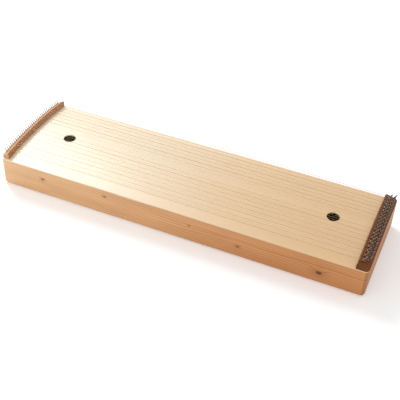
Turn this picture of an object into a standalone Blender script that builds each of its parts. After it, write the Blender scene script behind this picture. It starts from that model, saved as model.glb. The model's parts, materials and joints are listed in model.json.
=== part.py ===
"""Monochord: a long flat sound box with an arched soundboard and many equal strings.

The strings run from a row of hitch pins at the left end (-X) to two rows of tuning pins
at the right end (+X). Metres, +Z up, +Y to the back, origin under the middle of the box.
"""
import math

import bmesh
import bpy
from mathutils import Matrix, Vector

# Sound box
LENGTH = 1.200
WIDTH = 0.350
HEIGHT = 0.100              # underside to the soundboard's straight long edges
CROWN = 0.0115              # rise of the soundboard at the middle of its width
EDGE_RADIUS = 0.012         # round of the upright corners and of the lower edges
SIDE_THICKNESS = 0.014
END_THICKNESS = 0.014
BOARD_THICKNESS = 0.004
BOTTOM_THICKNESS = 0.005

# Sound holes, on the centre line
HOLE_RADIUS = 0.020
HOLE_FROM_HITCH_END = 0.149
HOLE_FROM_PIN_END = 0.156

# Blocks, linings and braces inside
HITCH_BLOCK_WIDTH = 0.026
PIN_BLOCK_WIDTH = 0.042
BLOCK_DEPTH = 0.045
LINING_WIDTH = 0.010
LINING_DEPTH = 0.014
BRACE_WIDTH = 0.010
BRACE_DEPTH = 0.022
TOP_BRACES = 3
BOTTOM_BRACES = 2

# Rails: wedges with a flat crest on the inner side
HITCH_RAIL_WIDTH = 0.0275
HITCH_RAIL_INNER = 0.018
HITCH_RAIL_OUTER = 0.005
HITCH_RAIL_SETBACK = 0.004
TUNING_RAIL_WIDTH = 0.039
TUNING_RAIL_INNER = 0.0125
TUNING_RAIL_OUTER = 0.0025
CREST_WIDTH = 0.005
CREST_EASING = 0.0005

# Saddles: rods let into the crests
SADDLE_RADIUS = 0.0015
SADDLE_SUNK = 0.0010

# Hitch pins, square to the hitch rail's slope
HITCH_PIN_RADIUS = 0.00125
HITCH_PIN_INSET = 0.009
HITCH_PIN_PROUD = 0.0115
HITCH_PIN_DRIVEN = 0.010

# Tuning pins, leaning outward
TUNING_PIN_RADIUS = 0.0025
TUNING_PIN_LEAN = math.radians(25)
TUNING_PIN_PROUD = 0.0225
TUNING_PIN_DRIVEN = 0.0275
OUTER_ROW_INSET = 0.0135
INNER_ROW_INSET = 0.026
DRIVE_HEAD_LENGTH = 0.009
DRIVE_HEAD_CORNER = 0.0023
DRIVE_HEAD_TAPER = 0.85

# Strings
STRING_COUNT = 34
STRING_FROM_FRONT = 0.023   # box's front face to the first string
STRING_FROM_BACK = 0.015    # box's back face to the last string
PLAIN_RADIUS = 0.000225
MEDIUM_RADIUS = 0.0004
HEAVY_RADIUS = 0.00055
LOOP_HEIGHT = 0.0025        # hitch rail to the string's loop, along the pin
LOOP_NOSE = 0.0045          # hitch pin's axis to where the loop closes
WINDING_START = 0.004       # tuning rail to the first turn, along the pin
WINDING_TURNS = 2
WINDING_GAP = 0.0005        # between two turns of a winding

# Gaps
GLUE_LINE = 0.0003          # between two fixed pieces
PIN_CLEARANCE = 0.0003      # round a pin in its hole, and between string and metal

# Fineness of the round shapes
EDGE_STEPS = 5
CROWN_STEPS = 16
GROOVE_STEPS = 5
HOLE_SIDES = 32
PIN_SIDES = 8
WINDING_SIDES = 8
LOOP_STEP = math.radians(55)
SADDLE_RESOLUTION = 4

# Worked out from the sizes above
HALF_LENGTH = LENGTH / 2
HALF_WIDTH = WIDTH / 2
CROWN_RADIUS = (HALF_WIDTH ** 2 + CROWN ** 2) / (2 * CROWN)
INNER_HALF_WIDTH = HALF_WIDTH - SIDE_THICKNESS - GLUE_LINE
INNER_HALF_LENGTH = HALF_LENGTH - END_THICKNESS - GLUE_LINE
SAW_ALLOWANCE = EDGE_RADIUS
STRING_PITCH = (WIDTH - STRING_FROM_FRONT - STRING_FROM_BACK) / (STRING_COUNT - 1)
BORE_RADIUS = (TUNING_PIN_RADIUS + PIN_CLEARANCE) / math.cos(math.pi / PIN_SIDES)


def srgb(red, green, blue):
    """Linear colour of a screen colour given in 0 to 255."""
    def linear(channel):
        c = channel / 255
        return c / 12.92 if c <= 0.04045 else ((c + 0.055) / 1.055) ** 2.4
    return (linear(red), linear(green), linear(blue), 1.0)


SPRUCE = (srgb(236, 206, 164), 0.45, 0.0)
SIDE_WOOD = (srgb(205, 142, 86), 0.42, 0.0)
END_WOOD = (srgb(176, 132, 100), 0.45, 0.0)
RAIL_WOOD = (srgb(178, 124, 82), 0.40, 0.0)
DARK_WOOD = (srgb(96, 52, 22), 0.38, 0.0)
BLOCK_WOOD = (srgb(200, 160, 115), 0.60, 0.0)
PIN_STEEL = (srgb(190, 188, 184), 0.28, 1.0)
SADDLE_STEEL = (srgb(200, 198, 194), 0.22, 1.0)
PLAIN_STEEL = (srgb(196, 196, 198), 0.25, 1.0)


def clear_scene():
    for obj in list(bpy.data.objects):
        bpy.data.objects.remove(obj, do_unlink=True)


def make_material(name, finish):
    colour, roughness, metallic = finish
    material = bpy.data.materials.new(name + "_finish")
    material.use_nodes = True
    shader = material.node_tree.nodes["Principled BSDF"]
    shader.inputs["Base Color"].default_value = colour
    shader.inputs["Roughness"].default_value = roughness
    shader.inputs["Metallic"].default_value = metallic
    material.diffuse_color = colour
    return material


def add_object(name, data, finish):
    """Put mesh or curve data in the scene as one sub-part with its own finish."""
    obj = bpy.data.objects.new(name, data)
    bpy.context.scene.collection.objects.link(obj)
    if finish is not None:
        if not data.materials:
            data.materials.append(None)
        obj.material_slots[0].link = "OBJECT"
        obj.material_slots[0].material = make_material(name, finish)
    return obj


def mesh_from(bm, name):
    bmesh.ops.recalc_face_normals(bm, faces=bm.faces)
    mesh = bpy.data.meshes.new(name)
    bm.to_mesh(mesh)
    bm.free()
    return mesh


def smooth_sides(mesh, angle=35):
    mesh.shade_smooth()
    mesh.set_sharp_from_angle(angle=math.radians(angle))


def hide_guide(obj):
    obj.hide_render = True
    obj.display_type = "WIRE"


def add_boolean(obj, guide, operation):
    modifier = obj.modifiers.new(operation.lower() + "_" + guide.name, "BOOLEAN")
    modifier.operation = operation
    modifier.solver = "EXACT"
    modifier.object = guide


def board_top(y):
    """Height of the soundboard's upper face at a distance y from the centre line."""
    return HEIGHT + CROWN - CROWN_RADIUS + math.sqrt(CROWN_RADIUS ** 2 - y ** 2)


def board_underside(y):
    return board_top(y) - BOARD_THICKNESS


def spread(low, high, steps):
    return [low + (high - low) * k / steps for k in range(steps + 1)]


def extruded_outline(name, outline, start, step, finish):
    """A flat outline made into a face at start and pushed along step."""
    bm = bmesh.new()
    face = bm.faces.new([bm.verts.new(Vector(start) + Vector(point)) for point in outline])
    pushed = bmesh.ops.extrude_face_region(bm, geom=[face])
    moved = [item for item in pushed["geom"] if isinstance(item, bmesh.types.BMVert)]
    bmesh.ops.translate(bm, verts=moved, vec=Vector(step))
    return add_object(name, mesh_from(bm, name), finish)


def skin_rings(bm, rings):
    """A closed skin over rings of points, each ring joined to the next and both ends capped."""
    loops = [[bm.verts.new(point) for point in ring] for ring in rings]
    for lower, upper in zip(loops, loops[1:]):
        for k in range(len(lower)):
            after = (k + 1) % len(lower)
            bm.faces.new((lower[k], lower[after], upper[after], upper[k]))
    bm.faces.new(loops[0])
    bm.faces.new(loops[-1])


def crowned_bar(name, x_low, x_high, y_low, y_high, z_low, finish):
    """A bar along X whose top follows the soundboard's underside and whose bottom is flat."""
    steps = max(1, round(CROWN_STEPS * (y_high - y_low) / WIDTH))
    top = [(0, y, board_underside(y) - GLUE_LINE) for y in spread(y_high, y_low, steps)]
    outline = [(0, y_low, z_low), (0, y_high, z_low)] + top
    return extruded_outline(name, outline, (x_low, 0, 0), (x_high - x_low, 0, 0), finish)


def block(name, low, high, finish):
    bm = bmesh.new()
    size = Vector(high) - Vector(low)
    place = Matrix.Translation((Vector(low) + Vector(high)) / 2) @ Matrix.Diagonal((*size, 1))
    bmesh.ops.create_cube(bm, size=1, matrix=place)
    return add_object(name, mesh_from(bm, name), finish)


def make_body_form(name, half_width, radius, z_low):
    """The rounded outer form of the box, as a guide that the outer pieces are trimmed to."""
    z_high = HEIGHT + CROWN + HITCH_RAIL_INNER + TUNING_RAIL_INNER
    guide = block(name, (-HALF_LENGTH, -half_width, z_low), (HALF_LENGTH, half_width, z_high), None)
    bm = bmesh.new()
    bm.from_mesh(guide.data)
    rounded = [edge for edge in bm.edges if min(v.co.z for v in edge.verts) < z_low + radius / 2]
    bmesh.ops.bevel(bm, geom=rounded, offset=radius, segments=EDGE_STEPS, profile=0.5,
                    affect="EDGES", clamp_overlap=True)
    bmesh.ops.recalc_face_normals(bm, faces=bm.faces)
    bm.to_mesh(guide.data)
    bm.free()
    hide_guide(guide)
    return guide


def make_sides(form, pin_cutter):
    for name, sign in (("front_side", -1), ("back_side", 1)):
        edges = sorted((sign * (HALF_WIDTH - SIDE_THICKNESS), sign * (HALF_WIDTH + SAW_ALLOWANCE)))
        side = crowned_bar(name, -HALF_LENGTH - SAW_ALLOWANCE, HALF_LENGTH + SAW_ALLOWANCE,
                           edges[0], edges[1], -SAW_ALLOWANCE, SIDE_WOOD)
        add_boolean(side, form, "INTERSECT")
        add_boolean(side, pin_cutter, "DIFFERENCE")


def make_ends(form):
    for name, sign in (("hitch_end", -1), ("pin_end", 1)):
        ends = sorted((sign * (HALF_LENGTH - END_THICKNESS), sign * (HALF_LENGTH + SAW_ALLOWANCE)))
        end = crowned_bar(name, ends[0], ends[1], -INNER_HALF_WIDTH, INNER_HALF_WIDTH,
                          -SAW_ALLOWANCE, END_WOOD)
        add_boolean(end, form, "INTERSECT")


def make_sound_hole_cutter():
    bm = bmesh.new()
    for x in (-HALF_LENGTH + HOLE_FROM_HITCH_END, HALF_LENGTH - HOLE_FROM_PIN_END):
        place = Matrix.Translation((x, 0, board_top(0) - BOARD_THICKNESS / 2))
        bmesh.ops.create_cone(bm, cap_ends=True, segments=HOLE_SIDES, radius1=HOLE_RADIUS,
                              radius2=HOLE_RADIUS, depth=BOARD_THICKNESS + 2 * CROWN, matrix=place)
    cutter = add_object("sound_hole_cutter", mesh_from(bm, "sound_hole_cutter"), None)
    hide_guide(cutter)
    return cutter


def make_soundboard(form, pin_cutter):
    reach = HALF_WIDTH + SAW_ALLOWANCE
    ys = spread(-reach, reach, CROWN_STEPS)
    lower = [(0, y, board_underside(y)) for y in ys]
    upper = [(0, y, board_top(y)) for y in reversed(ys)]
    half = HALF_LENGTH + SAW_ALLOWANCE
    board = extruded_outline("soundboard", lower + upper, (-half, 0, 0), (2 * half, 0, 0), SPRUCE)
    add_boolean(board, form, "INTERSECT")
    add_boolean(board, make_sound_hole_cutter(), "DIFFERENCE")
    add_boolean(board, pin_cutter, "DIFFERENCE")


def make_bottom_board():
    block("bottom_board", (-INNER_HALF_LENGTH, -INNER_HALF_WIDTH, 0),
          (INNER_HALF_LENGTH, INNER_HALF_WIDTH, BOTTOM_THICKNESS), SPRUCE)


def inner_span():
    """The free length between the two blocks, as low and high X."""
    low = -INNER_HALF_LENGTH + HITCH_BLOCK_WIDTH + GLUE_LINE
    high = INNER_HALF_LENGTH - PIN_BLOCK_WIDTH - GLUE_LINE
    return low, high


def make_blocks(pin_cutter):
    z_low = HEIGHT - BLOCK_DEPTH
    low, high = inner_span()
    crowned_bar("hitch_block", -INNER_HALF_LENGTH, low - GLUE_LINE,
                -INNER_HALF_WIDTH, INNER_HALF_WIDTH, z_low, BLOCK_WOOD)
    pin_block = crowned_bar("pin_block", high + GLUE_LINE, INNER_HALF_LENGTH,
                            -INNER_HALF_WIDTH, INNER_HALF_WIDTH, z_low, BLOCK_WOOD)
    add_boolean(pin_block, pin_cutter, "DIFFERENCE")


def make_linings():
    low, high = inner_span()
    inner_face = INNER_HALF_WIDTH - LINING_WIDTH
    z_upper = HEIGHT - BOARD_THICKNESS - LINING_DEPTH
    z_lower = BOTTOM_THICKNESS + GLUE_LINE
    for place, sign in (("front", -1), ("back", 1)):
        y_low, y_high = sorted((sign * inner_face, sign * INNER_HALF_WIDTH))
        crowned_bar("upper_lining_" + place, low, high, y_low, y_high, z_upper, SPRUCE)
        block("lower_lining_" + place, (-INNER_HALF_LENGTH, y_low, z_lower),
              (INNER_HALF_LENGTH, y_high, z_lower + LINING_DEPTH), SPRUCE)


def make_braces():
    low, high = inner_span()
    reach = INNER_HALF_WIDTH - LINING_WIDTH - GLUE_LINE
    z_top_brace = HEIGHT - BOARD_THICKNESS - BRACE_DEPTH
    z_bottom = BOTTOM_THICKNESS + GLUE_LINE
    for k in range(TOP_BRACES):
        x = low + (high - low) * (k + 1) / (TOP_BRACES + 1)
        crowned_bar(f"top_brace_{k + 1}", x - BRACE_WIDTH / 2, x + BRACE_WIDTH / 2,
                    -reach, reach, z_top_brace, SPRUCE)
    for k in range(BOTTOM_BRACES):
        x = low + (high - low) * (k + 1) / (BOTTOM_BRACES + 1)
        block(f"bottom_brace_{k + 1}", (x - BRACE_WIDTH / 2, -reach, z_bottom),
              (x + BRACE_WIDTH / 2, reach, z_bottom + LINING_DEPTH), SPRUCE)


class Rail:
    """A wedge along one end of the soundboard, described by distances u from the box's end."""

    def __init__(self, outward, width, inner, outer):
        self.outward = outward
        self.width = width
        self.inner = inner
        self.outer = outer
        self.slope = math.atan2(inner - outer, width - CREST_WIDTH)

    def x(self, u):
        return self.outward * (HALF_LENGTH - u)

    def surface(self, u):
        """Height of the sloping top above the soundboard."""
        return self.outer + math.tan(self.slope) * u

    def saddle_centre(self, y):
        lift = self.inner + SADDLE_RADIUS - SADDLE_SUNK
        return Vector((self.x(self.width - CREST_WIDTH / 2), y, board_top(y) + lift))

    def point(self, u, y):
        return Vector((self.x(u), y, board_top(y) + self.surface(u)))

    def axis(self, lean):
        return Vector((self.outward * math.sin(lean), 0, math.cos(lean)))

    def profile(self):
        """Cross-section as (u, height): flat foot, inner face, grooved crest and slope."""
        groove_radius = SADDLE_RADIUS + GLUE_LINE
        groove_u = self.width - CREST_WIDTH / 2
        groove_height = self.inner + SADDLE_RADIUS - SADDLE_SUNK
        lip = math.asin((SADDLE_RADIUS - SADDLE_SUNK) / groove_radius)
        points = [(-SAW_ALLOWANCE, GLUE_LINE), (self.width, GLUE_LINE),
                  (self.width, self.inner - CREST_EASING), (self.width - CREST_EASING, self.inner)]
        for angle in spread(-lip, lip - math.pi, GROOVE_STEPS):
            points.append((groove_u + groove_radius * math.cos(angle),
                           groove_height + groove_radius * math.sin(angle)))
        points.append((self.width - CREST_WIDTH, self.inner))
        points.append((-SAW_ALLOWANCE, max(self.surface(-SAW_ALLOWANCE), 2 * GLUE_LINE)))
        return points

    def build(self, name, half_reach, finish):
        """Repeat the cross-section along Y, rising and falling with the crown."""
        rings = [[Vector((self.x(u), y, board_top(y) + height)) for u, height in self.profile()]
                 for y in spread(-half_reach, half_reach, CROWN_STEPS)]
        bm = bmesh.new()
        skin_rings(bm, rings)
        return add_object(name, mesh_from(bm, name), finish)


HITCH_RAIL = Rail(-1, HITCH_RAIL_WIDTH, HITCH_RAIL_INNER, HITCH_RAIL_OUTER)
TUNING_RAIL = Rail(1, TUNING_RAIL_WIDTH, TUNING_RAIL_INNER, TUNING_RAIL_OUTER)


def string_y(index):
    return STRING_FROM_FRONT - HALF_WIDTH + index * STRING_PITCH


def tuning_pin_y(index):
    """A tuning pin stands behind its string, which leaves it on the front side."""
    return string_y(index) + TUNING_PIN_RADIUS + PIN_CLEARANCE + PLAIN_RADIUS


def tuning_pin_foot(index):
    """Where a tuning pin's axis leaves the tuning rail: even strings use the inner row."""
    inset = INNER_ROW_INSET if index % 2 == 0 else OUTER_ROW_INSET
    return TUNING_RAIL.point(inset, tuning_pin_y(index))


def hitch_pin_foot(index):
    return HITCH_RAIL.point(HITCH_PIN_INSET, string_y(index))


def leaning(foot, axis):
    """Placement that stands local +Z along axis, with local +Y kept along the box's +Y."""
    side = Vector((0, 1, 0))
    across = side.cross(axis)
    turn = Matrix((across, side, axis)).transposed().to_4x4()
    return Matrix.Translation(foot) @ turn


def add_turned_rod(bm, rings, place):
    """A rod of stacked rings; each ring is (height, radius at corners, radius between them)."""
    circles = []
    for height, corner, between in rings:
        circle = []
        for k in range(PIN_SIDES):
            angle = 2 * math.pi * k / PIN_SIDES
            radius = corner if k % 2 == 0 else between
            point = Vector((radius * math.cos(angle), radius * math.sin(angle), height))
            circle.append(place @ point)
        circles.append(circle)
    skin_rings(bm, circles)


def hitch_pin_rings():
    easing = HITCH_PIN_RADIUS / 3
    r = HITCH_PIN_RADIUS
    return [(-HITCH_PIN_DRIVEN, r, r), (HITCH_PIN_PROUD - easing, r, r),
            (HITCH_PIN_PROUD, r - easing, r - easing)]


def tuning_pin_rings():
    r = TUNING_PIN_RADIUS
    easing = r / 4
    head_foot = TUNING_PIN_PROUD - DRIVE_HEAD_LENGTH
    corner = DRIVE_HEAD_CORNER
    flat = corner * math.cos(math.pi / 4)
    taper = DRIVE_HEAD_TAPER
    return [(-TUNING_PIN_DRIVEN, r - easing, r - easing), (easing - TUNING_PIN_DRIVEN, r, r),
            (head_foot - easing, r, r), (head_foot + easing, corner, flat),
            (TUNING_PIN_PROUD, corner * taper, flat * taper)]


def make_hitch_pin_row():
    """All hitch pins, which the hitch rail takes in as one piece with it."""
    bm = bmesh.new()
    axis = HITCH_RAIL.axis(HITCH_RAIL.slope)
    for index in range(STRING_COUNT):
        add_turned_rod(bm, hitch_pin_rings(), leaning(hitch_pin_foot(index), axis))
    row = add_object("hitch_pin_row", mesh_from(bm, "hitch_pin_row"), None)
    hide_guide(row)
    return row


def make_tuning_pins():
    """Each tuning pin is its own piece, with its origin on its turning axis."""
    bm = bmesh.new()
    add_turned_rod(bm, tuning_pin_rings(), Matrix.Identity(4))
    mesh = mesh_from(bm, "tuning_pin")
    smooth_sides(mesh, 50)
    axis = TUNING_RAIL.axis(TUNING_PIN_LEAN)
    for index in range(STRING_COUNT):
        pin = add_object(f"tuning_pin_{index + 1:02d}", mesh, PIN_STEEL)
        pin.matrix_world = leaning(tuning_pin_foot(index), axis)


def make_tuning_bore_cutter():
    """Straight bores for the tuning pins through rail and soundboard into the pin block."""
    axis = TUNING_RAIL.axis(TUNING_PIN_LEAN)
    below = TUNING_PIN_DRIVEN + PIN_CLEARANCE
    above = TUNING_PIN_PROUD
    bm = bmesh.new()
    for index in range(STRING_COUNT):
        middle = tuning_pin_foot(index) + axis * (above - below) / 2
        bmesh.ops.create_cone(bm, cap_ends=True, segments=PIN_SIDES, radius1=BORE_RADIUS,
                              radius2=BORE_RADIUS, depth=above + below,
                              matrix=leaning(middle, axis))
    cutter = add_object("tuning_bore_cutter", mesh_from(bm, "tuning_bore_cutter"), None)
    hide_guide(cutter)
    return cutter


def make_rails(form, pin_cutter):
    hitch_form = make_body_form("hitch_rail_form", HALF_WIDTH - HITCH_RAIL_SETBACK, EDGE_RADIUS, 0)
    hitch_rail = HITCH_RAIL.build("hitch_rail", HALF_WIDTH + SAW_ALLOWANCE, RAIL_WOOD)
    add_boolean(hitch_rail, hitch_form, "INTERSECT")
    add_boolean(hitch_rail, make_hitch_pin_row(), "UNION")
    tuning_rail = TUNING_RAIL.build("tuning_rail", HALF_WIDTH + SAW_ALLOWANCE, DARK_WOOD)
    add_boolean(tuning_rail, form, "INTERSECT")
    add_boolean(tuning_rail, pin_cutter, "DIFFERENCE")


def tube_mesh(name, tubes, resolution):
    """Mesh of round tubes with closed ends; each tube is (points, radius)."""
    widest = max(radius for points, radius in tubes)
    curve = bpy.data.curves.new(name + "_path", "CURVE")
    curve.dimensions = "3D"
    curve.bevel_depth = widest
    curve.bevel_resolution = resolution
    curve.use_fill_caps = True
    for points, radius in tubes:
        spline = curve.splines.new("POLY")
        spline.points.add(len(points) - 1)
        for place, point in zip(spline.points, points):
            place.co = (*point, 1)
            place.radius = radius / widest
    path = bpy.data.objects.new(name + "_path", curve)
    mesh = bpy.data.meshes.new_from_object(path)
    bpy.data.objects.remove(path)
    mesh.name = name
    return mesh


def saddle_mesh(name, rail):
    reach = HALF_WIDTH - HITCH_RAIL_SETBACK - GLUE_LINE
    route = [rail.saddle_centre(y) for y in spread(-reach, reach, CROWN_STEPS)]
    return tube_mesh(name, [(route, SADDLE_RADIUS)], SADDLE_RESOLUTION)


def make_tuning_saddle():
    add_object("tuning_saddle", saddle_mesh("tuning_saddle", TUNING_RAIL), SADDLE_STEEL)


def string_radius(index):
    """Strings go in fours from both long edges: heavy, plain, medium, plain."""
    from_edge = min(index, STRING_COUNT - 1 - index)
    if from_edge >= STRING_COUNT // 2 - 1 or from_edge % 2 == 1:
        return PLAIN_RADIUS
    return HEAVY_RADIUS if from_edge % 4 == 0 else MEDIUM_RADIUS


def loop_points(index, radius):
    """The string's end loop: a teardrop round the hitch pin that closes on the inner side."""
    lean = HITCH_RAIL.slope
    axis = HITCH_RAIL.axis(lean)
    forward = Vector((math.cos(lean), 0, math.sin(lean)))
    side = Vector((0, 1, 0))
    centre = hitch_pin_foot(index) + axis * LOOP_HEIGHT
    reach = (HITCH_PIN_RADIUS + PIN_CLEARANCE + radius) / math.cos(LOOP_STEP / 2)
    tail_gap = 2 * radius + WINDING_GAP
    points = [centre + forward * LOOP_NOSE * 0.75 - side * tail_gap]
    for k in (-2, -1, 0, 1, 2):
        angle = math.pi - k * LOOP_STEP
        points.append(centre + (forward * math.cos(angle) + side * math.sin(angle)) * reach)
    points.append(centre + forward * LOOP_NOSE)
    return points


def over_saddle(centre, neighbour, reach):
    """Where a string that comes down to neighbour leaves the top of a saddle."""
    gap = neighbour - centre
    turn = math.acos(reach / math.hypot(gap.x, gap.z))
    angle = math.atan2(gap.z, gap.x) + math.copysign(turn, gap.x)
    return centre + Vector((math.cos(angle) * reach, 0, math.sin(angle) * reach))


def winding_points(index, radius):
    """The turns round the tuning pin, from the string's side upward along the pin."""
    lean = TUNING_PIN_LEAN
    axis = TUNING_RAIL.axis(lean)
    forward = Vector((math.cos(lean), 0, -math.sin(lean)))
    side = Vector((0, 1, 0))
    reach = (TUNING_PIN_RADIUS + PIN_CLEARANCE + radius) / math.cos(math.pi / WINDING_SIDES)
    start = tuning_pin_foot(index) + axis * WINDING_START
    pitch = 2 * radius + WINDING_GAP
    points = []
    for k in range(WINDING_TURNS * WINDING_SIDES + 1):
        turn = k / WINDING_SIDES
        angle = 2 * math.pi * turn - math.pi / 2
        around = forward * math.cos(angle) + side * math.sin(angle)
        points.append(start + around * reach + axis * pitch * turn)
    return points


def string_route(index):
    """One unbroken string: end loop, over both saddles, then the winding.

    The string's middle rests on the hitch saddle's surface, which it is joined to there.
    """
    radius = string_radius(index)
    loop = loop_points(index, radius)
    winding = winding_points(index, radius)
    hitch_saddle = HITCH_RAIL.saddle_centre(loop[-1].y)
    tuning_saddle = TUNING_RAIL.saddle_centre(winding[0].y)
    hitch_reach = SADDLE_RADIUS
    tuning_reach = SADDLE_RADIUS + PIN_CLEARANCE + radius
    return loop + [over_saddle(hitch_saddle, loop[-1], hitch_reach),
                   hitch_saddle + Vector((0, 0, hitch_reach)),
                   tuning_saddle + Vector((0, 0, tuning_reach)),
                   over_saddle(tuning_saddle, winding[0], tuning_reach)] + winding


def least_gap(route, radius):
    """Smallest distance between parts of one string that aren't neighbours, less its thickness."""
    apart = WINDING_SIDES // 2 + 1
    pairs = ((i, j) for i in range(len(route)) for j in range(i + apart, len(route)))
    return min((route[i] - route[j]).length for i, j in pairs) - 2 * radius


def make_strings():
    """All strings with the hitch saddle that they press on, joined as one piece."""
    tubes = [(string_route(index), string_radius(index)) for index in range(STRING_COUNT)]
    strings = add_object("string_row", tube_mesh("string_row", tubes, 0), None)
    hide_guide(strings)
    band = add_object("strings", saddle_mesh("strings", HITCH_RAIL), PLAIN_STEEL)
    add_boolean(band, strings, "UNION")
    gap = min(least_gap(points, radius) for points, radius in tubes)
    print(f"strings: {len(tubes)}, least gap of a string to itself {gap * 1000:.2f} mm")


def main():
    clear_scene()
    form = make_body_form("body_form", HALF_WIDTH, EDGE_RADIUS, 0)
    pin_cutter = make_tuning_bore_cutter()
    make_soundboard(form, pin_cutter)
    make_sides(form, pin_cutter)
    make_ends(form)
    make_bottom_board()
    make_blocks(pin_cutter)
    make_linings()
    make_braces()
    make_rails(form, pin_cutter)
    make_tuning_saddle()
    make_tuning_pins()
    make_strings()


main()
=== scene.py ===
import json
import math

import bmesh
import bpy
from bpy.props import FloatProperty, FloatVectorProperty, PointerProperty
from mathutils import Matrix, Quaternion, Vector


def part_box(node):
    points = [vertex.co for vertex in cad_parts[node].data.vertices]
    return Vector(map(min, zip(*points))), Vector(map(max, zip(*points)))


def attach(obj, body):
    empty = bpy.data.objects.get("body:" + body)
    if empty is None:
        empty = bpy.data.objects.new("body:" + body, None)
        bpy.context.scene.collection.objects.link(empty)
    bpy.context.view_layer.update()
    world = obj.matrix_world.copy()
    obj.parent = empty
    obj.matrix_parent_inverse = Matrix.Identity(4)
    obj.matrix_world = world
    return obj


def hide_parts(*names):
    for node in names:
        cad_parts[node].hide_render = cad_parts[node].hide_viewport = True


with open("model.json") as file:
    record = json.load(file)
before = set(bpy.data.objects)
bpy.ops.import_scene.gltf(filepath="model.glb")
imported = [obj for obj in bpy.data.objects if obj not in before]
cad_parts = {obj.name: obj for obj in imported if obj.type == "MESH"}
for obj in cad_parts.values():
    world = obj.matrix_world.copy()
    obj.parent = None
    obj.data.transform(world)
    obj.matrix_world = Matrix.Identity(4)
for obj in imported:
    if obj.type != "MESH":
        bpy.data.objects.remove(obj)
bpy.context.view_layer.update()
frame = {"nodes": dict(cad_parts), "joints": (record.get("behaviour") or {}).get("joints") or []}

bl_info = {
    "name": "Monochord looks",
    "version": (1, 0, 0),
    "blender": (4, 5, 0),
    "location": "3D View > Sidebar > Monochord",
    "description": "Finishes, strings, pins and stage for a monochord's packed parts",
    "category": "Object",
}

BOARD_LOW, BOARD_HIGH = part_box("soundboard")
RAIL_LOW, RAIL_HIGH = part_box("tuning_rail")
HALF_LENGTH = BOARD_HIGH.x
HALF_WIDTH = BOARD_HIGH.y
FEET = [Vector(joint["pos_m"]) for joint in frame["joints"]]
PIN_AXIS = Vector(frame["joints"][0]["axis"]).normalized()
PIN_BODIES = [joint["child"] for joint in frame["joints"]]
COUNT = len(FEET)

# The soundboard's arch
CROWN = 0.0115
CROWN_RADIUS = (HALF_WIDTH ** 2 + CROWN ** 2) / (2 * CROWN)

# Rails, saddles and hitch pins as the solids have them
HITCH_WIDTH = 0.0275
HITCH_INNER = 0.018
HITCH_OUTER = 0.005
HITCH_SETBACK = 0.004
CREST = 0.005
HITCH_SLOPE = math.atan2(HITCH_INNER - HITCH_OUTER, HITCH_WIDTH - CREST)
TUNING_WIDTH = RAIL_HIGH.x - RAIL_LOW.x
TUNING_INNER = 0.0125
SADDLE_SUNK = 0.001
CORNER = 0.012
GLUE_LINE = 0.0003
HITCH_INSET = 0.009
HITCH_PROUD = 0.0115
HITCH_DRIVEN = 0.004
PIN_PROUD = 0.0225
PIN_DRIVEN = 0.0275
HEAD_LENGTH = 0.009
PLAIN_RADIUS = 0.000225
STRING_CLEARANCE = 0.0003
LOOP_HEIGHT = 0.0025
LOOP_NOSE = 0.0045
WINDING_START = 0.004
WINDING_TURNS = 2
WINDING_GAP = 0.0005
TURN_POINTS = 24
TUNING_PIN_RADIUS = 0.0025
HEAD_SHARE = 0.68           # half the head's flats as a share of the pin's radius
RAIL_EASE = 0.0006          # how far the hitch rail's edges are eased

# Sides of the round pieces
TUBE_SIDES = 8
HITCH_PIN_SIDES = 12
ROD_SIDES = 16
LOOP_STEPS = 12
SMOOTH_ANGLE = math.radians(38)

# Woods: width of a year ring and how far the grain drifts sideways
RAIL_RING = 0.0034
END_RING = 0.0045
BOARD_DRIFT = 0.012
SIDE_DRIFT = 0.055
RAIL_DRIFT = 0.016
TRUNK_HEART = 0.18          # middle of the end boards' year rings, below the underside
MEDIUM_WRAP = 0.0006        # from one turn of a string's wrap to the next
HEAVY_WRAP = 0.0008

# Knots of the sides: along the box and down from its top edge, with their half sizes
KNOTS = ((0.150, 0.035, 0.0060, 0.0040), (0.370, 0.026, 0.0050, 0.0035),
         (0.655, 0.036, 0.0030, 0.0022), (0.812, 0.057, 0.0070, 0.0030),
         (1.062, 0.058, 0.0130, 0.0085))
SIDE_TOP = BOARD_LOW.z + 0.004

# Long dark grain line on the sides
LINE_DOWN = 0.020           # how far down it runs
LINE_HALF = 0.0022
LINE_WAVE = 0.018
LINE_START = -0.05          # where it starts to show
LINE_FADE = 0.2             # length over which it comes in

# Stage
FLOOR_REACH = 30.0
FLOOR_TONE = 0.93
FLOOR_GLOW = 0.26           # what the camera alone sees added to the floor
SKY_LIGHT = 0.64            # strength of the pale light from all round
LAMPS = (("window_light", (-2.3, 1.6, 2.5), 1.5, 78.0),
         ("fill_light", (-0.8, -3.0, 1.8), 2.6, 16.0))
CAMERA_PLACE = (0.7609, -1.8866, 1.6996)
CAMERA_LOOK = (-0.28243, 0.71651, -0.63785)
CAMERA_ROLL = math.radians(2.886)
CAMERA_LENS = 74.5
SENSOR_WIDTH = 36.0


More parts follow.
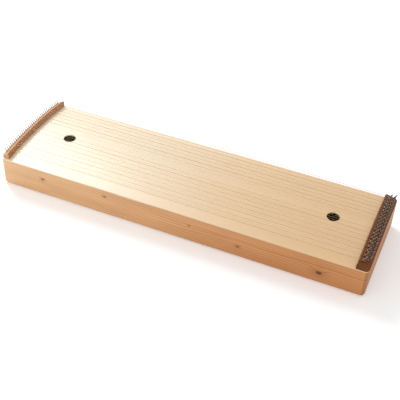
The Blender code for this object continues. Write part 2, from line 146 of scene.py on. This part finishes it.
class MonochordSizes(bpy.types.PropertyGroup):
    plain_wire: FloatProperty(name="Plain wire", description="Radius of a plain string",
                              default=PLAIN_RADIUS, unit="LENGTH", precision=6)
    medium_wire: FloatProperty(name="Medium wire", description="Radius of a medium wound string",
                               default=0.0004, unit="LENGTH", precision=6)
    heavy_wire: FloatProperty(name="Heavy wire", description="Radius of a heavy wound string",
                              default=0.00055, unit="LENGTH", precision=6)
    tuning_pin: FloatProperty(name="Tuning pin", description="Radius of a tuning pin",
                              default=TUNING_PIN_RADIUS, unit="LENGTH", precision=5)
    hitch_pin: FloatProperty(name="Hitch pin", description="Radius of a hitch pin",
                             default=0.00125, unit="LENGTH", precision=5)
    saddle: FloatProperty(name="Saddle", description="Radius of a saddle rod",
                          default=0.0015, unit="LENGTH", precision=5)
    board_grain: FloatProperty(name="Board grain",
                               description="Width of a year ring on the soundboard",
                               default=0.0028, unit="LENGTH", precision=5)
    side_grain: FloatProperty(name="Side grain", description="Width of a year ring on the sides",
                              default=0.0075, unit="LENGTH", precision=5)


def colour_property(name, description, red, green, blue):
    return FloatVectorProperty(name=name, description=description, subtype="COLOR", size=3,
                               min=0.0, max=1.0, default=screen(red, green, blue))


def screen(red, green, blue):
    """Scene colour of a screen colour that is given in 0 to 255."""
    def linear(channel):
        part = channel / 255
        return part / 12.92 if part <= 0.04045 else ((part + 0.055) / 1.055) ** 2.4
    return (linear(red), linear(green), linear(blue))


class MonochordColours(bpy.types.PropertyGroup):
    board_light: colour_property("Board light", "Early wood of the soundboard", 238, 204, 158)
    board_dark: colour_property("Board dark", "Late wood of the soundboard", 214, 166, 112)
    # Board pale is painted light: the sheen and brighter light towards the hitch end, put into the
    # board's colour.
    board_painted_sheen: colour_property("Board pale", "Painted sheen on the board towards the hitch end", 252, 242, 218)
    # Side pale is painted light: the sides are brighter towards the hitch end, where the lamp is.
    side_painted_light: colour_property("Side pale", "Painted light on the sides towards the hitch end",
                               255, 206, 152)
    side_light: colour_property("Side light", "Early wood of the sides", 222, 152, 88)
    side_dark: colour_property("Side dark", "Late wood and knots' halos on the sides", 160, 88, 36)
    knot: colour_property("Knot", "Heart of a knot", 84, 34, 10)
    hitch_light: colour_property("Hitch rail light", "Light grain of the hitch rail", 232, 186, 146)
    hitch_dark: colour_property("Hitch rail dark", "Dark grain of the hitch rail", 176, 116, 72)
    tuning_light: colour_property("Tuning rail light", "Light grain of the tuning rail",
                                  136, 72, 24)
    tuning_dark: colour_property("Tuning rail dark", "Dark grain of the tuning rail", 58, 24, 4)
    steel: colour_property("Steel", "Plain strings", 196, 194, 190)
    pin_steel: colour_property("Pin steel", "Tuning pins and hitch pins", 142, 136, 128)
    bronze: colour_property("Bronze", "Wrap of the wound strings", 206, 168, 122)
    saddle: colour_property("Saddle", "Rods that the strings bear on", 150, 104, 60)
    # Inside is dark as painted shade of the closed box.
    inside: colour_property("Inside", "Unlit wood inside the box", 92, 66, 42)


class Shade:
    """A value that varies over a surface; arithmetic on it adds Math nodes."""

    def __init__(self, tree, socket):
        self.tree = tree
        self.socket = socket

    def math(self, operation, *values):
        node = self.tree.nodes.new("ShaderNodeMath")
        node.operation = operation
        for slot, value in zip(node.inputs, values):
            plug(self.tree, slot, value)
        return Shade(self.tree, node.outputs[0])

    def __add__(self, other):
        return self.math("ADD", self, other)

    __radd__ = __add__

    def __sub__(self, other):
        return self.math("SUBTRACT", self, other)

    def __rsub__(self, other):
        return self.math("SUBTRACT", other, self)

    def __mul__(self, other):
        return self.math("MULTIPLY", self, other)

    __rmul__ = __mul__

    def __truediv__(self, other):
        return self.math("DIVIDE", self, other)

    def __pow__(self, other):
        return self.math("POWER", self, other)

    def sine(self):
        return self.math("SINE", self)

    def root(self):
        return self.math("SQRT", self)

    def size(self):
        return self.math("ABSOLUTE", self)

    def greatest(self, other):
        return self.math("MAXIMUM", self, other)


def plug(tree, slot, value):
    """Link a Shade to a socket, or set the socket's own value."""
    if isinstance(value, Shade):
        tree.links.new(value.socket, slot)
    else:
        slot.default_value = value


class Finish:
    """A material with its shader and the ways to add nodes to it."""

    def __init__(self, name, roughness, metallic=0.0, coat=0.0):
        self.material = bpy.data.materials.new(name)
        self.material.use_nodes = True
        self.tree = self.material.node_tree
        self.shader = self.tree.nodes["Principled BSDF"]
        self.shader.inputs["Metallic"].default_value = metallic
        self.shader.inputs["Roughness"].default_value = roughness
        self.shader.inputs["Coat Weight"].default_value = coat
        self.shader.inputs["Coat Roughness"].default_value = 0.25

    def add(self, kind, settings, sockets, output=0):
        """Any node: its type, its settings, then the values or links of its sockets."""
        node = self.tree.nodes.new(kind)
        for key, value in settings.items():
            setattr(node, key, value)
        for key, value in sockets.items():
            plug(self.tree, node.inputs[key], value)
        return Shade(self.tree, node.outputs[output])

    def place(self):
        """The point's X, Y and Z on the piece, in metres."""
        point = self.add("ShaderNodeTexCoord", {}, {}, "Object")
        return [self.add("ShaderNodeSeparateXYZ", {}, {"Vector": point}, axis) for axis in "XYZ"]

    def noise(self, x, y, z, detail=2.0):
        """Cloudy noise, as fine along each axis as x, y and z are scaled up."""
        point = self.add("ShaderNodeCombineXYZ", {}, {"X": x, "Y": y, "Z": z})
        return self.add("ShaderNodeTexNoise", {},
                        {"Vector": point, "Scale": 1.0, "Detail": detail}, "Fac")

    def step(self, value, low, high):
        """Smooth rise from 0 at low to 1 at high."""
        return self.add("ShaderNodeMapRange", {"interpolation_type": "SMOOTHSTEP"},
                        {"Value": value, "From Min": low, "From Max": high})

    def mix(self, factor, first, second):
        first, second = [c if isinstance(c, Shade) else (*c, 1.0) for c in (first, second)]
        return self.add("ShaderNodeMix", {"data_type": "RGBA"}, {0: factor, 6: first, 7: second}, 2)

    def colour(self, value):
        plug(self.tree, self.shader.inputs["Base Color"], value)

    def rough(self, value):
        plug(self.tree, self.shader.inputs["Roughness"], value)

    def bump(self, height, distance):
        normal = self.add("ShaderNodeBump", {},
                          {"Height": height, "Distance": distance, "Strength": 0.6})
        plug(self.tree, self.shader.inputs["Normal"], normal)


def year_rings(finish, along, across, width, wander):
    """Dark late-wood lines along a board, drifting sideways as grain does."""
    drift = finish.noise(along * 1.6, across * 7.0, 0.0) * wander
    turns = (across + drift) * (2 * math.pi / width)
    return ((turns.sine() + 1.0) * 0.5) ** 2.5


def fibres(finish, along, across, third):
    """Fine streaks that run with the grain."""
    return finish.noise(along * 14.0, across * 700.0, third * 700.0, 3.0)


def board_finish(sizes, colours):
    finish = Finish("spruce_board", 0.38, coat=0.25)
    x, y, z = finish.place()
    rings = year_rings(finish, x, y, sizes.board_grain, BOARD_DRIFT)
    bands = finish.noise(x * 0.8, y * 26.0, 0.0)
    streaks = fibres(finish, x, y, z)
    amount = rings * 0.30 + bands * 0.45 + streaks * 0.18 - 0.12
    # Painted light and sheen: the board turns paler, with fainter grain, towards the hitch end.
    pale = 1.0 - finish.step(x, -HALF_LENGTH, HALF_LENGTH * 0.9)
    early = finish.mix(pale, colours.board_light, colours.board_painted_sheen)
    finish.colour(finish.mix(amount * (1.0 - pale * 0.6), early, colours.board_dark))
    finish.rough(0.34 + streaks * 0.12)
    finish.bump(rings * 0.4 + streaks * 0.3, 0.0002)
    return finish.material


def side_finish(sizes, colours):
    """Plain-sawn pine: wide wavy grain that flows round its knots."""
    finish = Finish("pine_side", 0.36, coat=0.3)
    x, y, z = finish.place()
    lift = y * 0.35 + z
    hearts = None
    halos = None
    for place_x, down, half_x, half_z in KNOTS:
        off_x = (x - (place_x - HALF_LENGTH)) / half_x
        off_z = (z - (SIDE_TOP - down)) / half_z
        far = (off_x * off_x + off_z * off_z).root()
        heart = 1.0 - finish.step(far, 0.35, 1.0)
        halo = 1.0 - finish.step(far, 0.6, 3.2)
        lift = lift + halo * (half_z * 1.2)
        hearts = heart if hearts is None else hearts.greatest(heart)
        halos = halo if halos is None else halos.greatest(halo)
    rings = year_rings(finish, x, lift, sizes.side_grain, SIDE_DRIFT)
    clouds = finish.noise(x * 4.0, y * 6.0, z * 22.0, 3.0)
    streaks = fibres(finish, x, y, z)
    amount = rings * 0.34 + clouds * 0.55 + streaks * 0.22 + halos * 0.28 - 0.28
    # Painted light: the sides turn paler towards the hitch end.
    pale = 1.0 - finish.step(x, -HALF_LENGTH, HALF_LENGTH * 0.8)
    early = finish.mix(pale, colours.side_light, colours.side_painted_light)
    wood = finish.mix(amount, early, colours.side_dark)
    wave = finish.noise(x * 5.0, 0.0, 0.0) * LINE_WAVE
    line = (z + wave - (BOARD_LOW.z - LINE_DOWN)).size()
    shown = finish.step(x, LINE_START, LINE_START + LINE_FADE)
    dark = (1.0 - finish.step(line, 0.0, LINE_HALF)) * shown
    wood = finish.mix(dark * 0.6, wood, colours.side_dark)
    corner = finish.step(x, HALF_LENGTH - CORNER, HALF_LENGTH - CORNER * 0.45)
    wood = finish.mix(corner * 0.55, wood, colours.side_dark)
    finish.colour(finish.mix(hearts * 0.9, wood, colours.knot))
    finish.rough(0.32 + streaks * 0.14)
    finish.bump(rings * 0.3 + streaks * 0.4, 0.0002)
    return finish.material


def end_grain_finish(colours):
    """Ends of the boards, where the year rings show as arcs."""
    finish = Finish("pine_end", 0.5, coat=0.15)
    x, y, z = finish.place()
    depth = z + TRUNK_HEART
    distance = (y * y + depth * depth).root()
    wobble = finish.noise(x, y * 16.0, z * 16.0) * 0.006
    rings = (((distance + wobble) * (2 * math.pi / END_RING)).sine() + 1.0) * 0.5
    pores = finish.noise(x * 90.0, y * 900.0, z * 900.0)
    wood = finish.mix(rings * 0.45 + pores * 0.3, colours.side_light, colours.side_dark)
    finish.colour(wood)
    finish.rough(0.45 + pores * 0.15)
    finish.bump(pores, 0.0002)
    return finish.material


def rail_finish(name, light, dark, painted_shade_from=None):
    """Hardwood rail with its grain across the box; past the x of its last argument its face is
    darker with painted shade.
    """
    finish = Finish(name, 0.4, coat=0.04)
    finish.shader.inputs["Specular IOR Level"].default_value = 0.25
    x, y, z = finish.place()
    rings = year_rings(finish, y, x + z * 0.6, RAIL_RING, RAIL_DRIFT)
    pores = finish.noise(x * 800.0, y * 26.0, z * 800.0, 3.0)
    clouds = finish.noise(x * 30.0, y * 8.0, z * 30.0)
    amount = rings * 0.45 + clouds * 0.5 + pores * 0.25 - 0.15
    if painted_shade_from is not None:
        # Painted shade: the inner face, turned away from the light, is darkened.
        amount = amount + finish.step(x, painted_shade_from - 0.0004, painted_shade_from) * 0.6
    finish.colour(finish.mix(amount, light, dark))
    finish.rough(0.38 + pores * 0.16)
    finish.bump(pores, 0.00015)
    return finish.material


def plain_wood_finish(colours):
    """Unvarnished wood of the blocks, linings and braces inside, dark with painted shade of the
    closed box.
    """
    finish = Finish("inner_wood", 0.6)
    x, y, z = finish.place()
    streaks = finish.noise(x * 60.0, y * 60.0, z * 600.0, 3.0)
    finish.colour(finish.mix(streaks, colours.inside, colours.side_dark))
    finish.rough(0.55 + streaks * 0.15)
    finish.bump(streaks, 0.0003)
    return finish.material


def metal_finish(name, colour, roughness, scratch):
    """Drawn or turned metal with fine marks and a little tarnish."""
    finish = Finish(name, roughness, metallic=1.0)
    x, y, z = finish.place()
    marks = finish.noise(x * scratch, y * scratch, z * scratch, 3.0)
    tarnish = finish.noise(x * 120.0, y * 120.0, z * 120.0)
    darker = tuple(channel * 0.6 for channel in colour)
    finish.colour(finish.mix(tarnish * 0.7, colour, darker))
    finish.rough(roughness + marks * 0.18)
    finish.bump(marks, 0.00003)
    return finish.material


def wound_finish(colours, wrap):
    """Wrap wire round a core, as fine ribs across the string."""
    finish = Finish("wound_string", 0.3, metallic=1.0)
    x, y, z = finish.place()
    ribs = ((x * (2 * math.pi / wrap)).sine() + 1.0) * 0.5
    tarnish = finish.noise(x * 30.0, y * 30.0, z * 30.0)
    darker = tuple(channel * 0.45 for channel in colours.bronze)
    # Darker with random tarnish, and in bands along the ribs: painted shade of the wrap's turns.
    finish.colour(finish.mix(tarnish * 0.6 + ribs * 0.35, colours.bronze, darker))
    finish.rough(0.28 + tarnish * 0.15)
    finish.bump(ribs, 0.00008)
    return finish.material


def paint(node, material):
    """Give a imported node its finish."""
    for slot in frame["nodes"][node].material_slots:
        slot.material = material


def board_top(y):
    """Height of the soundboard's upper face at a distance y from the centre line."""
    return BOARD_HIGH.z - CROWN_RADIUS + math.sqrt(CROWN_RADIUS ** 2 - y ** 2)


def spread(low, high, steps):
    return [low + (high - low) * k / steps for k in range(steps + 1)]


def skin_rings(bm, rings):
    """A closed skin over rings of points, each joined to the next and both ends capped."""
    loops = [[bm.verts.new(point) for point in ring] for ring in rings]
    for lower, upper in zip(loops, loops[1:]):
        for k in range(len(lower)):
            after = (k + 1) % len(lower)
            bm.faces.new((lower[k], lower[after], upper[after], upper[k]))
    bm.faces.new(loops[0])
    bm.faces.new(loops[-1])


def tube_rings(points, radius, sides):
    """Rings round a path whose frame is carried along it without twist."""
    rings = []
    tangent = (points[1] - points[0]).normalized()
    normal = tangent.orthogonal().normalized()
    for k, point in enumerate(points):
        before = points[max(k - 1, 0)]
        after = points[min(k + 1, len(points) - 1)]
        tangent = (after - before).normalized()
        normal = (normal - tangent * normal.dot(tangent)).normalized()
        side = tangent.cross(normal)
        ring = []
        for n in range(sides):
            angle = 2 * math.pi * n / sides
            ring.append(point + (normal * math.cos(angle) + side * math.sin(angle)) * radius)
        rings.append(ring)
    return rings


def finish_piece(bm, name, material, body):
    """Turn a mesh under work into a piece that rides on a body."""
    bmesh.ops.recalc_face_normals(bm, faces=bm.faces)
    mesh = bpy.data.meshes.new(name)
    bm.to_mesh(mesh)
    bm.free()
    mesh.shade_smooth()
    mesh.set_sharp_from_angle(angle=SMOOTH_ANGLE)
    mesh.materials.append(material)
    piece = bpy.data.objects.new(name, mesh)
    bpy.context.scene.collection.objects.link(piece)
    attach(piece, body)
    return piece


def rod_rings(place, sections, sides):
    """Stacked rings of a turned rod; each section is (height, round radius, square share)."""
    rings = []
    for height, radius, square in sections:
        ring = []
        for k in range(sides):
            angle = 2 * math.pi * (k + 0.5) / sides
            flat = 1.0 / max(abs(math.cos(angle)), abs(math.sin(angle)))
            reach = radius * (1.0 + square * (min(flat, 1.32) - 1.0))
            ring.append(place @ Vector((reach * math.cos(angle), reach * math.sin(angle), height)))
        rings.append(ring)
    return rings


def leaning(foot, axis):
    """Placement that stands a rod on its foot along an axis."""
    side = Vector((0, 1, 0))
    turn = Matrix((side.cross(axis), side, axis)).transposed().to_4x4()
    return Matrix.Translation(foot) @ turn


def string_y(index):
    """Distance of a string from the centre line: it runs just in front of its tuning pin."""
    return FEET[index].y - TUNING_PIN_RADIUS - STRING_CLEARANCE - PLAIN_RADIUS


def hitch_foot(index):
    """Where a hitch pin comes out of the hitch rail's slope."""
    y = string_y(index)
    lift = HITCH_OUTER + math.tan(HITCH_SLOPE) * HITCH_INSET
    return Vector((-HALF_LENGTH + HITCH_INSET, y, board_top(y) + lift))


HITCH_AXIS = Vector((-math.sin(HITCH_SLOPE), 0, math.cos(HITCH_SLOPE)))


def saddle_centre(x, inner, y, radius):
    return Vector((x, y, board_top(y) + inner + radius - SADDLE_SUNK))


def hitch_saddle_centre(y, radius):
    return saddle_centre(-HALF_LENGTH + HITCH_WIDTH - CREST / 2, HITCH_INNER, y, radius)


def tuning_saddle_centre(y, radius):
    return saddle_centre(HALF_LENGTH - TUNING_WIDTH + CREST / 2, TUNING_INNER, y, radius)


def gauge(index):
    """Strings go in fours from both long edges: heavy, plain, medium, plain."""
    from_edge = min(index, COUNT - 1 - index)
    if from_edge >= COUNT // 2 - 1 or from_edge % 2 == 1:
        return "plain"
    return "heavy" if from_edge % 4 == 0 else "medium"


def over_saddle(centre, neighbour, reach):
    """Arc from where a string meets a saddle on its way from neighbour, up to the saddle's top."""
    gap = neighbour - centre
    turn = math.acos(reach / math.hypot(gap.x, gap.z))
    base = math.atan2(gap.z, gap.x)
    slant = base + math.copysign(turn, gap.x)
    if gap.x < 0 and slant < -math.pi / 2:
        slant += 2 * math.pi
    angles = spread(slant, math.pi / 2, 3)
    return [centre + Vector((math.cos(a), 0, math.sin(a))) * reach for a in angles]


def string_points(index, radius, sizes):
    """End loop, over both saddles, then the winding on the tuning pin."""
    forward = Vector((math.cos(HITCH_SLOPE), 0, math.sin(HITCH_SLOPE)))
    side = Vector((0, 1, 0))
    centre = hitch_foot(index) + HITCH_AXIS * LOOP_HEIGHT
    reach = sizes.hitch_pin + STRING_CLEARANCE + radius
    points = [centre + forward * LOOP_NOSE * 0.75 - side * (2 * radius + WINDING_GAP)]
    for k in range(LOOP_STEPS + 1):
        angle = math.radians(250) - math.radians(220) * k / LOOP_STEPS
        points.append(centre + (forward * math.cos(angle) + side * math.sin(angle)) * reach)
    points.append(centre + forward * LOOP_NOSE)
    y = centre.y
    hitch_top = hitch_saddle_centre(y, sizes.saddle)
    points += over_saddle(hitch_top, points[-1], sizes.saddle + radius)
    around = Vector((PIN_AXIS.z, 0, -PIN_AXIS.x))
    start = FEET[index] + PIN_AXIS * WINDING_START
    hold = sizes.tuning_pin + STRING_CLEARANCE + radius
    pitch = 2 * radius + WINDING_GAP
    winding = []
    for k in range(WINDING_TURNS * TURN_POINTS + 1):
        turn = k / TURN_POINTS
        angle = 2 * math.pi * turn - math.pi / 2
        spot = (around * math.cos(angle) + side * math.sin(angle)) * hold
        winding.append(start + spot + PIN_AXIS * pitch * turn)
    tuning_top = tuning_saddle_centre(winding[0].y, sizes.saddle)
    points += reversed(over_saddle(tuning_top, winding[0], sizes.saddle + radius))
    return points + winding


class MONOCHORD_OT_board(bpy.types.Operator):
    """Finish the soundboard in varnished spruce"""
    bl_idname = "monochord.board"
    bl_label = "Soundboard"

    def execute(self, context):
        material = board_finish(context.scene.monochord_sizes, context.scene.monochord_colours)
        paint("soundboard", material)
        return {"FINISHED"}


class MONOCHORD_OT_sides(bpy.types.Operator):
    """Finish the long sides, the end boards and the bottom board"""
    bl_idname = "monochord.sides"
    bl_label = "Sides and bottom"

    def execute(self, context):
        sizes = context.scene.monochord_sizes
        colours = context.scene.monochord_colours
        sides = side_finish(sizes, colours)
        for node in ("front_side", "back_side"):
            paint(node, sides)
        ends = end_grain_finish(colours)
        for node in ("hitch_end", "pin_end"):
            paint(node, ends)
        paint("bottom_board", plain_wood_finish(colours))
        return {"FINISHED"}


class MONOCHORD_OT_inside(bpy.types.Operator):
    """Finish the blocks, linings and braces inside the box"""
    bl_idname = "monochord.inside"
    bl_label = "Blocks, linings and braces"

    def execute(self, context):
        material = plain_wood_finish(context.scene.monochord_colours)
        for node in frame["nodes"]:
            if node.split("_")[-1] == "block" or "lining" in node or "brace" in node:
                paint(node, material)
        return {"FINISHED"}


class MONOCHORD_OT_tuning_rail(bpy.types.Operator):
    """Finish the dark tuning rail and its steel saddle"""
    bl_idname = "monochord.tuning_rail"
    bl_label = "Tuning rail"

    def execute(self, context):
        colours = context.scene.monochord_colours
        paint("tuning_rail", rail_finish("dark_rail", colours.tuning_light, colours.tuning_dark))
        paint("tuning_saddle", metal_finish("saddle_rod", colours.saddle, 0.4, 900.0))
        return {"FINISHED"}


class MONOCHORD_OT_hitch_rail(bpy.types.Operator):
    """Build the hitch rail and the row of steel pins driven into it"""
    bl_idname = "monochord.hitch_rail"
    bl_label = "Hitch rail and pins"

    def execute(self, context):
        sizes = context.scene.monochord_sizes
        colours = context.scene.monochord_colours
        # The hitch rail's inner face is darkened with painted shade.
        inner_face = -HALF_LENGTH + HITCH_WIDTH
        material = rail_finish("hitch_rail_wood", colours.hitch_light, colours.hitch_dark,
                               inner_face)
        rail = finish_piece(self.rail_mesh(), "hitch_rail_shape", material, "body")
        bm = bmesh.new()
        r = sizes.hitch_pin
        sections = [(-HITCH_DRIVEN, r, 0.0), (HITCH_PROUD - r * 0.5, r, 0.0),
                    (HITCH_PROUD - r * 0.15, r * 0.8, 0.0), (HITCH_PROUD, r * 0.45, 0.0)]
        for index in range(COUNT):
            skin_rings(bm, rod_rings(leaning(hitch_foot(index), HITCH_AXIS), sections,
                                    HITCH_PIN_SIDES))
        steel = metal_finish("hitch_pin_steel", colours.pin_steel, 0.2, 700.0)
        pins = finish_piece(bm, "hitch_pins", steel, "body")
        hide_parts("hitch_rail")
        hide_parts("hitch_rail")
        return {"FINISHED"}

    def rail_mesh(self):
        """Wedge with eased edges whose ends are rounded as seen from above."""
        reach = HALF_WIDTH - HITCH_SETBACK
        bm = bmesh.new()
        rings = []
        stations = [-reach + CORNER * (1 - math.cos(a)) for a in spread(0.0, math.pi / 2, 6)]
        stations += spread(-reach + CORNER, reach - CORNER, 40)[1:-1]
        stations += [-y for y in reversed(stations[:7])]
        for y in stations:
            into = max(0.0, CORNER - (reach - abs(y)))
            trim = CORNER - math.sqrt(max(CORNER ** 2 - into ** 2, 0.0))
            rings.append(self.profile(y, min(trim, CORNER)))
        skin_rings(bm, rings)
        return bm

    def profile(self, y, trim):
        """The wedge's outline at a distance y from the centre line, cut back by trim outside."""
        ease = RAIL_EASE
        slope = math.tan(HITCH_SLOPE)
        top = HITCH_INNER
        crest = HITCH_WIDTH - CREST
        outline = [(trim, GLUE_LINE), (HITCH_WIDTH, GLUE_LINE), (HITCH_WIDTH, top - ease),
                   (HITCH_WIDTH - ease * 0.3, top - ease * 0.3), (HITCH_WIDTH - ease, top),
                   (crest + ease, top), (crest, top - slope * ease * 0.5),
                   (crest - ease, top - slope * ease),
                   (trim + ease, HITCH_OUTER + slope * (trim + ease)),
                   (trim + ease * 0.3, HITCH_OUTER + slope * trim - ease * 0.2),
                   (trim, HITCH_OUTER + slope * trim - ease)]
        return [Vector((-HALF_LENGTH + u, y, board_top(y) + height)) for u, height in outline]


class MONOCHORD_OT_tuning_pins(bpy.types.Operator):
    """Build the tuning pins, each turning with its own body"""
    bl_idname = "monochord.tuning_pins"
    bl_label = "Tuning pins"

    def execute(self, context):
        sizes = context.scene.monochord_sizes
        colours = context.scene.monochord_colours
        steel = metal_finish("tuning_pin_steel", colours.pin_steel, 0.16, 700.0)
        r = sizes.tuning_pin
        head = PIN_PROUD - HEAD_LENGTH
        half = r * HEAD_SHARE
        sections = [(-PIN_DRIVEN, r * 0.7, 0.0), (-PIN_DRIVEN + 0.0006, r * 0.99, 0.0),
                    (head - 0.001, r * 0.99, 0.0), (head, r * 0.95, 0.0),
                    (head + 0.0012, half, 0.9),
                    (PIN_PROUD - 0.0007, half * 0.88, 0.95), (PIN_PROUD - 0.0002, half * 0.80, 0.8),
                    (PIN_PROUD, half * 0.66, 0.7)]
        for index, (foot, body) in enumerate(zip(FEET, PIN_BODIES)):
            bm = bmesh.new()
            skin_rings(bm, rod_rings(leaning(foot, PIN_AXIS), sections, ROD_SIDES))
            pin = finish_piece(bm, f"steel_pin_{index + 1:02d}", steel, body)
            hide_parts(f"tuning_pin_{index + 1:02d}")
        return {"FINISHED"}


class MONOCHORD_OT_strings(bpy.types.Operator):
    """Build the strings in their three thicknesses and the hitch saddle"""
    bl_idname = "monochord.strings"
    bl_label = "Strings"

    def execute(self, context):
        sizes = context.scene.monochord_sizes
        colours = context.scene.monochord_colours
        plain = metal_finish("plain_string", colours.steel, 0.22, 400.0)
        kinds = (("plain", sizes.plain_wire, plain),
                 ("medium", sizes.medium_wire, wound_finish(colours, MEDIUM_WRAP)),
                 ("heavy", sizes.heavy_wire, wound_finish(colours, HEAVY_WRAP)))
        for kind, radius, material in kinds:
            bm = bmesh.new()
            for index in range(COUNT):
                if gauge(index) == kind:
                    points = string_points(index, radius, sizes)
                    skin_rings(bm, tube_rings(points, radius, TUBE_SIDES))
            piece = finish_piece(bm, f"{kind}_strings", material, "body")
            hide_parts("strings")
        reach = HALF_WIDTH - HITCH_SETBACK - GLUE_LINE
        points = [hitch_saddle_centre(y, sizes.saddle) for y in spread(-reach, reach, 48)]
        bm = bmesh.new()
        skin_rings(bm, tube_rings(points, sizes.saddle, ROD_SIDES))
        steel = metal_finish("hitch_saddle_rod", colours.saddle, 0.4, 900.0)
        saddle = finish_piece(bm, "hitch_saddle", steel, "body")
        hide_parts("strings")
        return {"FINISHED"}


class MONOCHORD_OT_stage(bpy.types.Operator):
    """Set the floor, the soft studio light and the camera"""
    bl_idname = "monochord.stage"
    bl_label = "Stage"

    def execute(self, context):
        self.floor()
        self.world(context.scene)
        for name, place, size, watts in LAMPS:
            self.lamp(name, place, size, watts)
        self.camera(context.scene)
        context.scene.view_settings.view_transform = "Standard"
        return {"FINISHED"}

    def floor(self):
        bm = bmesh.new()
        bmesh.ops.create_grid(bm, x_segments=1, y_segments=1, size=FLOOR_REACH)
        mesh = bpy.data.meshes.new("floor")
        bm.to_mesh(mesh)
        bm.free()
        floor = bpy.data.objects.new("floor", mesh)
        bpy.context.scene.collection.objects.link(floor)
        finish = Finish("pale_floor", 0.9)
        finish.shader.inputs["Base Color"].default_value = (*[FLOOR_TONE] * 3, 1.0)
        finish.shader.inputs["Specular IOR Level"].default_value = 0.0
        finish.shader.inputs["Emission Color"].default_value = (1.0, 1.0, 1.0, 1.0)
        seen = finish.add("ShaderNodeLightPath", {}, {}, "Is Camera Ray")
        plug(finish.tree, finish.shader.inputs["Emission Strength"], seen * FLOOR_GLOW)
        mesh.materials.append(finish.material)

    def world(self, scene):
        """White to the camera, to gloss and to glass; a plain pale light to the object."""
        world = bpy.data.worlds.new("studio")
        scene.world = world
        world.use_nodes = True
        tree = world.node_tree
        light_path = tree.nodes.new("ShaderNodeLightPath")
        camera = Shade(tree, light_path.outputs["Is Camera Ray"])
        glossy = Shade(tree, light_path.outputs["Is Glossy Ray"])
        through = Shade(tree, light_path.outputs["Is Transmission Ray"])
        seen = camera.greatest(glossy).greatest(through)
        background = tree.nodes["Background"]
        background.inputs["Color"].default_value = (1.0, 1.0, 1.0, 1.0)
        plug(tree, background.inputs["Strength"], seen * (1.0 - SKY_LIGHT) + SKY_LIGHT)

    def lamp(self, name, place, size, watts):
        light = bpy.data.lights.new(name, "AREA")
        light.size = size
        light.energy = watts
        lamp = bpy.data.objects.new(name, light)
        bpy.context.scene.collection.objects.link(lamp)
        lamp.location = place
        lamp.rotation_euler = (-Vector(place)).to_track_quat("-Z", "Y").to_euler()

    def camera(self, scene):
        lens = bpy.data.cameras.new("camera")
        lens.lens = CAMERA_LENS
        lens.sensor_width = SENSOR_WIDTH
        camera = bpy.data.objects.new("camera", lens)
        scene.collection.objects.link(camera)
        camera.location = CAMERA_PLACE
        look = Vector(CAMERA_LOOK).to_track_quat("-Z", "Y")
        camera.rotation_mode = "QUATERNION"
        camera.rotation_quaternion = look @ Quaternion((0, 0, 1), CAMERA_ROLL)
        scene.camera = camera


STEPS = (MONOCHORD_OT_board, MONOCHORD_OT_sides, MONOCHORD_OT_inside, MONOCHORD_OT_tuning_rail,
         MONOCHORD_OT_hitch_rail, MONOCHORD_OT_tuning_pins, MONOCHORD_OT_strings,
         MONOCHORD_OT_stage)


class MONOCHORD_PT_panel(bpy.types.Panel):
    bl_idname = "MONOCHORD_PT_panel"
    bl_label = "Monochord"
    bl_space_type = "VIEW_3D"
    bl_region_type = "UI"
    bl_category = "Monochord"

    def draw(self, context):
        for group in (context.scene.monochord_sizes, context.scene.monochord_colours):
            for key in group.__annotations__:
                self.layout.prop(group, key)
        for step in STEPS:
            self.layout.operator(step.bl_idname)


CLASSES = (MonochordSizes, MonochordColours, *STEPS, MONOCHORD_PT_panel)


def register():
    for cls in CLASSES:
        bpy.utils.register_class(cls)
    bpy.types.Scene.monochord_sizes = PointerProperty(type=MonochordSizes)
    bpy.types.Scene.monochord_colours = PointerProperty(type=MonochordColours)


def unregister():
    del bpy.types.Scene.monochord_colours
    del bpy.types.Scene.monochord_sizes
    for cls in reversed(CLASSES):
        bpy.utils.unregister_class(cls)


def main():
    register()
    bpy.ops.monochord.board()
    bpy.ops.monochord.sides()
    bpy.ops.monochord.inside()
    bpy.ops.monochord.tuning_rail()
    bpy.ops.monochord.hitch_rail()
    bpy.ops.monochord.tuning_pins()
    bpy.ops.monochord.strings()
    bpy.ops.monochord.stage()


if __name__ == "__main__":
    main()
